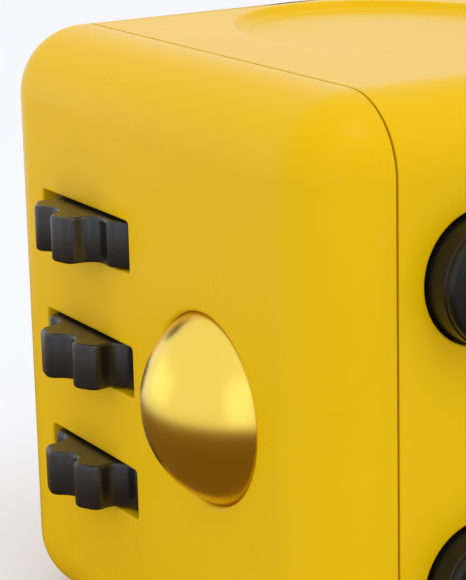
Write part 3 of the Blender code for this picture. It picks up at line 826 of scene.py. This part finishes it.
@dataclass(frozen=True)
class RollerBank:
    """Three toothed rollers on one axle, behind three slots."""

    lobes: int = 8
    valley: float = 3.35 * MM
    tip_half: float = 0.78 * MM
    tip_round: float = 0.62 * MM
    valley_round: float = 0.9 * MM
    rim: float = 0.2 * MM
    bore: float = 0.85 * MM
    slot_half_u: float = 4.91 * MM
    slot_half_v: float = 1.36 * MM
    slot_corner: float = 0.22 * MM
    slot_lip: float = 0.14 * MM
    tip: float = 4.89 * MM
    round_steps: int = 7
    turns: tuple[tuple[str, float], ...] = (("upper", -75.0), ("middle", -104.0), ("lower", -107.0))

    def slots(self) -> list[Opening]:
        """The slot of each roller."""
        sizes = (self.slot_half_u, self.slot_half_v, self.slot_lip, self.slot_corner)
        nodes = (f"roller_{label}" for label, _ in self.turns)
        return [Opening(Face.ROLLERS, Face.ROLLERS.spot(node), *sizes) for node in nodes]

    def outline(self) -> Outline:
        """A roller's outline: blunt lobes with rounded corners, and rounded valleys between them."""
        pitch = 2 * math.pi / self.lobes
        flat = math.asin(self.tip_half / self.tip)
        corners = []
        for lobe in range(self.lobes):
            middle = lobe * pitch
            for turn, radius, rounding in (
                (middle - flat, self.tip, self.tip_round),
                (middle + flat, self.tip, self.tip_round),
                (middle + pitch / 2, self.valley, self.valley_round),
            ):
                corners.append((radius * math.cos(turn), radius * math.sin(turn), rounding))
        return soften(corners, True, self.round_steps)

    def build(self) -> None:
        """Makes the three rollers."""
        axle_low, axle_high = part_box("roller_axle")
        for label, degrees in self.turns:
            name = f"roller_{label}"
            low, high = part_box(name)
            centre = (low + high) / 2
            centre.y = (axle_low.y + axle_high.y) / 2
            turn = Matrix.Rotation(math.radians(degrees), 4, "Z")
            piece = Workpiece(f"moulded_{name}", Matrix.Translation(centre) @ turn)
            piece.prism(self.outline(), (high.z - low.z) / 2, self.rim, self.bore)
            piece.deliver(f"{name}_body", GRAINED_ABS, (name,))


@dataclass(frozen=True)
class ThumbBall:
    """The gold-coloured ball and the hole that it shows through."""

    hole_radius: float = 4.88 * MM
    lip: float = 0.22 * MM
    segments: int = 128

    def hole(self) -> Opening:
        """The hole in the front cover."""
        spot = Face.ROLLERS.spot("thumb_ball")
        return Opening(Face.ROLLERS, spot, self.hole_radius, self.hole_radius, self.lip)

    def build(self) -> None:
        """Makes the ball."""
        low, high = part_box("thumb_ball")
        radius = (high.z - low.z) / 2
        piece = Workpiece("plated_ball", Matrix.Translation((low + high) / 2))
        bmesh.ops.create_uvsphere(
            piece.mesh, u_segments=self.segments, v_segments=self.segments // 2, radius=radius
        )
        piece.deliver("ball_body", GOLD_PLATE, ("thumb_ball",))


# ---- Push buttons ----


@dataclass(frozen=True)
class ButtonSet:
    """Five push buttons in a five-spot pattern."""

    numbers: tuple[int, ...] = (1, 2, 3, 4, 5)
    radius: float = 3.14 * MM
    clearance: float = 0.17 * MM
    hole_lip: float = 0.1 * MM
    shoulder: float = 0.26 * MM
    bead: float = 0.07 * MM
    bead_drop: float = 0.42 * MM
    foot_radius: float = 1.6 * MM
    foot_gap: float = 0.12 * MM
    flange_thick: float = 0.6 * MM
    edge: float = 0.1 * MM
    groove: float = 0.05 * MM
    crown: float = 0.03 * MM
    hole_steps: int = 72
    steps: int = 96

    def holes(self) -> list[Opening]:
        """The buttons' holes in the middle shell."""
        reach = self.radius + self.clearance
        made = []
        for number in self.numbers:
            spot = Face.BUTTONS.spot(f"push_button_{number}")
            made.append(Opening(Face.BUTTONS, spot, reach, reach, self.hole_lip, steps=self.hole_steps))
        return made

    def build(self) -> None:
        """Makes the five buttons."""
        waist = self.radius - self.bead
        for number in self.numbers:
            node = f"push_button_{number}"
            low, high = Face.BUTTONS.extent(node)
            flange = (high.x - low.x) / 2
            under = FLANGE_TOP - self.flange_thick
            foot = low.z + self.foot_gap
            corners = [
                (0.0, high.z - self.crown, 0.0),
                (waist - self.shoulder, high.z, self.groove),
                (waist, high.z, self.shoulder),
                (waist, high.z - self.bead_drop, self.crown),
                (self.radius, high.z - self.bead_drop - self.groove, self.groove),
                (self.radius, FLANGE_TOP, 0.0),
                (flange, FLANGE_TOP, self.edge),
                (flange, under, self.edge),
                (self.foot_radius, under, 0.0),
                (self.foot_radius, foot, self.edge),
                (0.0, foot, 0.0),
            ]
            piece = Workpiece(f"moulded_button_{number}", Face.BUTTONS.frame())
            piece.lathe(soften(corners, False), self.steps, Face.BUTTONS.spot(node))
            piece.deliver(f"button_{number}", BLACK_ABS, (node,))


# ---- Joystick ----


@dataclass(frozen=True)
class Joystick:
    """The thumb stick's cap, its dust washer and its opening."""

    opening: float = 6.2 * MM
    lip: float = 0.45 * MM
    hollow_share: float = 0.42
    hollow_depth: float = 0.7 * MM
    hollow_edge: float = 0.62 * MM
    hollow_round: float = 2.0 * MM
    # Corners of the cap's crown and base: inset from the rim, drop or rise from its end, rounding.
    crown: tuple[Corner, ...] = (
        (0.95 * MM, 0.12 * MM, 0.6 * MM),
        (0.55 * MM, 0.0, 0.25 * MM),
        (0.0, 0.18 * MM, 0.22 * MM),
        (0.0, 0.75 * MM, 0.15 * MM),
    )
    base: tuple[Corner, ...] = ((0.6 * MM, 0.3 * MM, 0.4 * MM), (1.3 * MM, 0.0, 0.2 * MM))
    cap_steps: int = 112
    washer_bore: float = 2.6 * MM
    washer_lip: float = 0.15 * MM
    washer_edge: float = 0.1 * MM
    washer_steps: int = 96

    def hole(self) -> Opening:
        """The opening in the middle shell."""
        return Opening(Face.STICK, (0.0, 0.0), self.opening, self.opening, self.lip)

    def build(self) -> None:
        """Makes the cap and the washer."""
        low, high = Face.STICK.extent("joystick_cap")
        radius = (high.x - low.x) / 2
        corners = [
            (0.0, high.z - self.hollow_depth, 0.0),
            (radius * self.hollow_share, high.z - self.hollow_edge, self.hollow_round),
            *((radius - inset, high.z - drop, rounding) for inset, drop, rounding in self.crown),
            *((radius - inset, low.z + rise, rounding) for inset, rise, rounding in self.base),
            (0.0, low.z, 0.0),
        ]
        cap = Workpiece("moulded_stick_cap", Face.STICK.frame())
        cap.lathe(soften(corners, False), self.cap_steps)
        cap.deliver("stick", BLACK_ABS, ("joystick_cap",))

        low, high = Face.STICK.extent("joystick_washer")
        outer = (high.x - low.x) / 2
        ring = [
            (self.washer_bore, low.z, self.washer_edge),
            (self.washer_bore, high.z, self.washer_lip),
            (outer, high.z, self.washer_edge),
            (outer, low.z, self.washer_edge),
        ]
        profile = soften(ring, True)
        washer = Workpiece("moulded_stick_washer", Face.STICK.frame())
        washer.lathe(profile + profile[:1], self.washer_steps)
        washer.deliver("casing", BLACK_ABS, ("joystick_washer",))


# ---- Rocker switch ----


@dataclass(frozen=True)
class RockerSwitch:
    """The rocker's paddle and its opening in the back cover."""

    pivot: float = 13.6 * MM
    tilt: float = math.radians(11.0)
    half_width: float = 3.1 * MM
    rim: float = 0.35 * MM
    bore: float = 0.7 * MM
    opening_u: float = 3.4 * MM
    opening_v: float = 6.5 * MM
    opening_corner: float = 0.8 * MM
    lip: float = 0.25 * MM
    # Half the side view, keel to saddle: distance from the middle, height over the pivot, rounding.
    half_view: tuple[Corner, ...] = (
        (3.0 * MM, -1.2 * MM, 0.6 * MM),
        (5.7 * MM, 1.6 * MM, 0.5 * MM),
        (5.7 * MM, 4.0 * MM, 0.35 * MM),
        (4.7 * MM, 4.0 * MM, 1.2 * MM),
        (1.6 * MM, 2.9 * MM, 6.0 * MM),
    )
    round_steps: int = 8

    def hole(self) -> Opening:
        """The opening in the back cover."""
        sizes = (self.opening_u, self.opening_v, self.lip, self.opening_corner)
        return Opening(Face.ROCKER, (0.0, 0.0), *sizes)

    def build(self) -> None:
        """Makes the paddle: a shallow saddle on top, and a keel that the click spring holds."""
        mirrored = [(-v, w, rounding) for v, w, rounding in reversed(self.half_view)]
        side_view = soften([*self.half_view, *mirrored], True, self.round_steps)
        standing = Matrix(((0, 0, 1, 0), (1, 0, 0, 0), (0, 1, 0, 0), (0, 0, 0, 1)))
        at = Matrix.Translation((0.0, 0.0, self.pivot)) @ Matrix.Rotation(self.tilt, 4, "X")
        piece = Workpiece("moulded_paddle", Face.ROCKER.frame() @ at @ standing)
        piece.prism(side_view, self.half_width, self.rim, self.bore)
        piece.deliver("rocker", BLACK_ABS, ("rocker_paddle",))


# ---- Dial ----


@dataclass(frozen=True)
class HubScrew:
    """The screw that the dial turns on, with a hexagon socket in its head."""

    dial_face: float
    seat: float = 0.7 * MM
    # Corners of its shank from the seat to the tip: radius, rise from the tip.
    shank: tuple[tuple[float, float], ...] = (
        (1.6 * MM, 2.5 * MM),
        (1.2 * MM, 2.2 * MM),
        (1.2 * MM, 0.2 * MM),
        (0.84 * MM, 0.0),
    )
    margin: float = 0.5 * MM
    crown: float = 0.2 * MM
    edge: float = 0.1 * MM
    socket_radius: float = 1.15 * MM
    socket_corner: float = 0.08 * MM
    socket_bevel: float = 0.05 * MM
    socket_depth: float = 0.6 * MM
    corner_steps: int = 3
    steps: int = 72

    def build(self) -> None:
        """Makes the screw."""
        low, high = Face.DIAL.extent("dial_hub_screw")
        head = (high.x - low.x) / 2
        under = self.dial_face - self.seat
        run = [
            (head - self.margin, high.z, 0.0),
            (head, high.z, self.crown),
            (head, under, self.edge),
            (self.shank[0][0], under, 0.0),
            *((radius, low.z + rise, 0.0) for radius, rise in self.shank),
        ]
        screw = Workpiece("turned_hub_screw", Face.DIAL.frame())
        crown, tip = screw.sweep(turned(soften(run, False), self.steps))
        screw.fill(tip)
        hexagon = round_outline(self.socket_radius, self.socket_radius, 6)
        socket = soften([(u, v, self.socket_corner) for u, v in hexagon], True, self.corner_steps)
        levels = [
            (shifted(socket, -self.socket_bevel), high.z),
            (socket, high.z - self.socket_bevel),
            (socket, high.z - self.socket_depth),
        ]
        mouth, floor = screw.sweep(levels)
        screw.fill(floor)
        screw.fill(crown, mouth)
        screw.deliver("casing", TURNED_STEEL, ("dial_hub_screw",))


@dataclass(frozen=True)
class Dial:
    """The dial with its finger dimple, and its hub screw."""

    opening: float = 9.7 * MM
    lip: float = 0.3 * MM
    radius: float = 9.4 * MM
    face_height: float = 16.1 * MM
    dimple_at: float = 6.1 * MM
    dimple_radius: float = 2.3 * MM
    dimple_depth: float = 0.62 * MM
    hub_gap: float = 0.3 * MM
    hub_recess: float = 1.0 * MM
    hub_bore: float = 1.7 * MM
    margin: float = 0.9 * MM
    face_round: float = 0.4 * MM
    flange_round: float = 0.1 * MM
    bore_round: float = 0.05 * MM
    socket_round: float = 0.15 * MM
    socket_margin: float = 0.4 * MM
    steps: int = 112
    dimple_margin: float = 0.5 * MM
    dimple_lip: float = 0.3 * MM
    dimple_share: float = 0.55
    dimple_fall: float = 0.85
    dimple_round: float = 1.2 * MM
    dimple_floor: float = 0.3 * MM
    dimple_steps: int = 64

    def hole(self) -> Opening:
        """The opening in the middle shell."""
        return Opening(Face.DIAL, (0.0, 0.0), self.opening, self.opening, self.lip)

    def build(self) -> None:
        """Makes the dial and its hub screw."""
        low, high = Face.DIAL.extent("spin_dial")
        flange = (high.x - low.x) / 2
        hub_low, hub_high = Face.DIAL.extent("dial_hub_screw")
        top = self.face_height
        socket = (hub_high.x - hub_low.x) / 2 + self.hub_gap
        wall = [
            (self.radius - self.margin, top, 0.0),
            (self.radius, top, self.face_round),
            (self.radius, FLANGE_TOP, 0.0),
            (flange, FLANGE_TOP, self.flange_round),
            (flange, low.z, self.flange_round),
            (self.hub_bore, low.z, self.bore_round),
            (self.hub_bore, top - self.hub_recess, 0.0),
            (socket, top - self.hub_recess, self.bore_round),
            (socket, top, self.socket_round),
            (socket + self.socket_margin, top, 0.0),
        ]
        disc = Workpiece("moulded_dial", Face.DIAL.frame())
        outer, inner = disc.sweep(turned(soften(wall, False), self.steps))
        disc.fill(outer, inner, self.dimple(disc))
        disc.deliver("dial", BLACK_ABS, ("spin_dial",))
        HubScrew(self.face_height).build()

    def dimple(self, disc: Workpiece) -> Edges:
        """The finger dimple: a shallow bowl with a rounded rim.

        Args:
            disc: The dial in the making.

        Returns:
            The ring where the dimple meets the dial's face.
        """
        bowl = self.dimple_radius * self.dimple_share
        run = [
            (self.dimple_radius + self.dimple_margin, 0.0, 0.0),
            (self.dimple_radius, 0.0, self.dimple_lip),
            (bowl, -self.dimple_depth * self.dimple_fall, self.dimple_round),
            (self.dimple_floor, -self.dimple_depth, 0.0),
        ]
        profile = [(radius, self.face_height + drop) for radius, drop in soften(run, False)]
        rim, floor = disc.sweep(turned(profile, self.dimple_steps, (self.dimple_at, 0.0)))
        disc.fill(floor)
        return rim


# ---- The works inside ----


@dataclass(frozen=True)
class Yielding:
    """A springy or soft piece inside, which a moving piece presses flat towards its foot. It keeps its
    imported shape.
    """

    node: str
    name: str
    joint: str
    face: Face
    finish: Finish
    keep: float

    def build(self) -> None:
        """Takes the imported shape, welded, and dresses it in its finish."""
        low, _ = self.face.extent(self.node)
        piece = Workpiece(self.name, Matrix.Identity(4))
        piece.mesh.from_mesh(frame["nodes"][self.node].data)
        made = piece.deliver("casing", self.finish, (self.node,))
        out = self.face.out()
        foot = self.face.frame() @ Vector((0.0, 0.0, low.z))
        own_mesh(made)


@dataclass(frozen=True)
class InnerWorks:
    """The pieces inside: those that yield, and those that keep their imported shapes."""

    clicking: tuple[int, ...] = (1, 3, 4)
    quiet: tuple[int, ...] = (2, 5)
    spring_keep: float = 0.76
    dome_keep: float = 0.11
    finishes: tuple[Finish, ...] = (
        YELLOW_ABS, BLACK_ABS, GOLD_PLATE, ACETAL, TURNED_STEEL, SPRING_STEEL, SILICONE, BOARD,
    )

    def build(self) -> None:
        """Makes the ball's spring, and what each button stands on."""
        Yielding(
            "ball_spring", "coiled_ball_spring", "ball_press", Face.ROLLERS, SPRING_STEEL, self.spring_keep
        ).build()
        rests = [(f"snap_dome_{number}", number, TURNED_STEEL) for number in self.clicking]
        rests += [(f"soft_pad_{number}", number, SILICONE) for number in self.quiet]
        for node, number, finish in rests:
            joint = f"button_{number}_press"
            Yielding(node, f"yielding_{node}", joint, Face.BUTTONS, finish, self.dome_keep).build()

    def dress(self) -> None:
        """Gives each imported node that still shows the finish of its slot."""
        by_slot = {finish.slot: finish for finish in self.finishes}
        for entry in frame["record"]["subparts"]:
            node = frame["nodes"][entry["node"]]
            if node.hide_render:
                continue
            finish = by_slot[entry["material_slot"]]
            node.data.materials.clear()
            node.data.materials.append(finish.material())
            log.info("%s keeps its shape, in %s", node.name, finish.title)


# ---- Studio ----


@dataclass(frozen=True)
class Softbox:
    """A diffused light, which looks at the cube."""

    name: str
    azimuth: float
    elevation: float
    distance: float
    width: float
    height: float
    radiance: float
    colour: str = "FFFFFF"

    def build(self) -> None:
        """Hangs the light."""
        out = outward(math.radians(self.azimuth), math.radians(self.elevation))
        lamp = bpy.data.lights.new(self.name, "AREA")
        lamp.shape = "RECTANGLE"
        lamp.size, lamp.size_y = self.width, self.height
        lamp.color = linear(self.colour)[:3]
        lamp.energy = self.radiance * math.pi * self.width * self.height
        light = bpy.data.objects.new(self.name, lamp)
        light.location = MIDDLE + out * self.distance
        light.rotation_euler = out.to_track_quat("Z", "Y").to_euler()
        light.visible_camera = False
        bpy.context.scene.collection.objects.link(light)


@dataclass(frozen=True)
class Studio:
    """The floor, the soft room light, the softboxes and the camera."""

    floor_half: float = 3.0
    room_over: str = "FDFDFE"
    room_level: str = "CFCFD1"
    room_under: str = "785926"
    room_under_at: float = 0.36
    room_level_at: float = 0.4
    room_strength: float = 1.05
    camera_at: tuple[float, float, float] = (97.79 * MM, -68.51 * MM, 50.90 * MM)
    camera_yaw: float = math.radians(59.66)
    camera_pitch: float = math.radians(15.03)
    camera_roll: float = math.radians(-1.40)
    focal_length: float = 140.27
    softboxes: tuple[Softbox, ...] = (
        Softbox("softbox_left", -50.0, 6.0, 0.5, 0.32, 0.19, 0.5, "C8D8FF"),
        Softbox("softbox_right", 50.0, 15.0, 0.5, 0.24, 0.42, 0.5, "C8D8FF"),
        Softbox("softbox_over", 95.0, 62.0, 0.6, 0.3, 0.3, 2.4),
    )

    def floor(self) -> None:
        """A plain pale floor. It lights the cube but isn't mirrored in it, as a matt floor wouldn't be."""
        mesh = bmesh.new()
        bmesh.ops.create_grid(mesh, x_segments=1, y_segments=1, size=self.floor_half)
        data = bpy.data.meshes.new("floor")
        mesh.to_mesh(data)
        mesh.free()
        data.transform(Matrix.Translation((0.0, 0.0, CAD_BOX[0].z - FLOOR_GAP)))
        floor = bpy.data.objects.new("floor", data)
        floor.visible_glossy = False
        bpy.context.scene.collection.objects.link(floor)
        card = Finish("pale_card", "", "E9EAEE", "E7E8EC", 0.9, specular=0.1, drift_mm=400.0, grain_mm=1.0)
        data.materials.append(card.material())

    def room(self) -> None:
        """Light from all round, brighter overhead, and a dim warm room below the floor's edge."""
        world = bpy.data.worlds.new("room")
        bpy.context.scene.world = world
        world.use_nodes = True
        tree = world.node_tree
        direction = add_node(tree, "ShaderNodeTexCoord", {}, {}).outputs["Generated"]
        parts = add_node(tree, "ShaderNodeSeparateXYZ", {}, {"Vector": direction})
        limits = {"From Min": -1.0, "From Max": 1.0}
        rise = add_node(tree, "ShaderNodeMapRange", limits, {"Value": parts.outputs["Z"]})
        ramp = add_node(tree, "ShaderNodeValToRGB", {}, {"Fac": rise.outputs["Result"]})
        under, over = ramp.color_ramp.elements
        level = ramp.color_ramp.elements.new(self.room_level_at)
        under.position = self.room_under_at
        for element, code in ((under, self.room_under), (level, self.room_level), (over, self.room_over)):
            element.color = linear(code)
        background = tree.nodes["Background"]
        background.inputs["Strength"].default_value = self.room_strength
        tree.links.new(ramp.outputs["Color"], background.inputs["Color"])

    def camera(self) -> None:
        """The camera, turned by its yaw, its pitch and then its roll."""
        back = outward(self.camera_yaw, self.camera_pitch)
        level = Vector((math.cos(self.camera_yaw), math.sin(self.camera_yaw), 0.0))
        axes = Matrix((level, back.cross(level), back)).transposed()
        turn = axes @ Matrix.Rotation(self.camera_roll, 3, "Z")
        lens = bpy.data.cameras.new("camera")
        lens.lens = self.focal_length
        lens.clip_start = MM
        camera = bpy.data.objects.new("camera", lens)
        camera.matrix_world = Matrix.Translation(self.camera_at) @ turn.to_4x4()
        bpy.context.scene.collection.objects.link(camera)
        bpy.context.scene.camera = camera

    def build(self) -> None:
        """Sets up the whole studio."""
        bpy.context.scene.view_settings.view_transform = "Standard"
        self.floor()
        self.room()
        for softbox in self.softboxes:
            softbox.build()
        self.camera()
        log.info("studio: floor, room, %d softboxes and camera", len(self.softboxes))


def main() -> None:
    """Builds the cube's looks, sub-assembly by sub-assembly."""
    logging.basicConfig(level=logging.INFO, format="%(name)s: %(message)s")
    rollers, ball, buttons, stick = RollerBank(), ThumbBall(), ButtonSet(), Joystick()
    rocker, dial, casing = RockerSwitch(), Dial(), Casing()

    casing.cover("front_cover", Face.ROLLERS, [*rollers.slots(), ball.hole()])
    casing.middle("middle_shell", [THUMB_DISH, *buttons.holes(), stick.hole(), dial.hole()])
    casing.cover("back_cover", Face.ROCKER, [rocker.hole()])
    for assembly in (rollers, ball, buttons, stick, rocker, dial):
        assembly.build()
    works = InnerWorks()
    works.build()
    works.dress()
    Studio().build()


if __name__ == "__main__":
    main()
